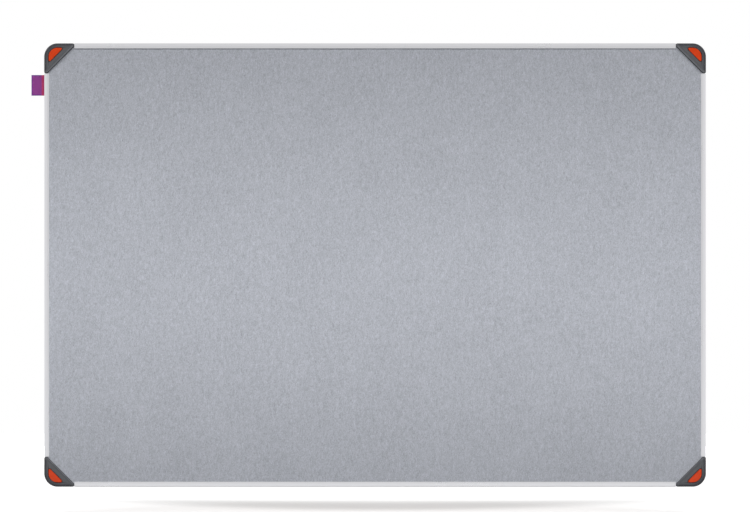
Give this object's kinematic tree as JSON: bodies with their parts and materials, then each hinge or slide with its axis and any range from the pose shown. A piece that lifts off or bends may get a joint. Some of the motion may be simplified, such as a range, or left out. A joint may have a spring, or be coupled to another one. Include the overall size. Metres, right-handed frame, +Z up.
{
  "type": "felt bulletin board",
  "caption": "Wall-hung pin board: felt panel in an aluminium frame, plastic corner mouldings with pull-off covers over the wall screws, side label tab.",
  "frame": {"origin": "the board's centre on the wall plane, level with the feet of the four corner mouldings", "axes": "+X along the board's long side, to the right of someone facing the felt; +Y into the wall; +Z up. The felt faces -Y."},
  "size_m": [0.9184, 0.0226, 0.603],
  "materials": {
    "felt": "matte",
    "softboard": "matte",
    "hardboard": "satin",
    "frame_aluminium": "satin",
    "corner_plastic": "satin",
    "cover_plastic": "satin",
    "screw_steel": "polished",
    "label_ribbon": "matte"
  },
  "bodies": {
    "board": {"corner_moulding_bottom_left": "corner_plastic", "corner_moulding_bottom_right": "corner_plastic", "corner_moulding_top_right": "corner_plastic", "corner_moulding_top_left": "corner_plastic", "corner_screw_bottom_left_a": "screw_steel", "corner_screw_bottom_left_b": "screw_steel", "corner_screw_bottom_right_a": "screw_steel", "corner_screw_bottom_right_b": "screw_steel", "corner_screw_top_right_a": "screw_steel", "corner_screw_top_right_b": "screw_steel", "corner_screw_top_left_a": "screw_steel", "corner_screw_top_left_b": "screw_steel", "frame_rail_bottom": "frame_aluminium", "frame_rail_right": "frame_aluminium", "frame_rail_top": "frame_aluminium", "frame_rail_left": "frame_aluminium", "felt_sheet": "felt", "softboard_core": "softboard", "back_sheet": "hardboard", "side_label_tab": "label_ribbon"},
    "cover_bottom_left": {"corner_cover_bottom_left": "cover_plastic"},
    "cover_bottom_right": {"corner_cover_bottom_right": "cover_plastic"},
    "cover_top_right": {"corner_cover_top_right": "cover_plastic"},
    "cover_top_left": {"corner_cover_top_left": "cover_plastic"}
  },
  "joints": [
    {"name": "pull_cover_bottom_left", "type": "slide", "parent": "board", "child": "cover_bottom_left", "axis": [0, -1, 0], "range_m": [0, 0.015]},
    {"name": "pull_cover_bottom_right", "type": "slide", "parent": "board", "child": "cover_bottom_right", "axis": [0, -1, 0], "range_m": [0, 0.015]},
    {"name": "pull_cover_top_right", "type": "slide", "parent": "board", "child": "cover_top_right", "axis": [0, -1, 0], "range_m": [0, 0.015]},
    {"name": "pull_cover_top_left", "type": "slide", "parent": "board", "child": "cover_top_left", "axis": [0, -1, 0], "range_m": [0, 0.015]}
  ]
}
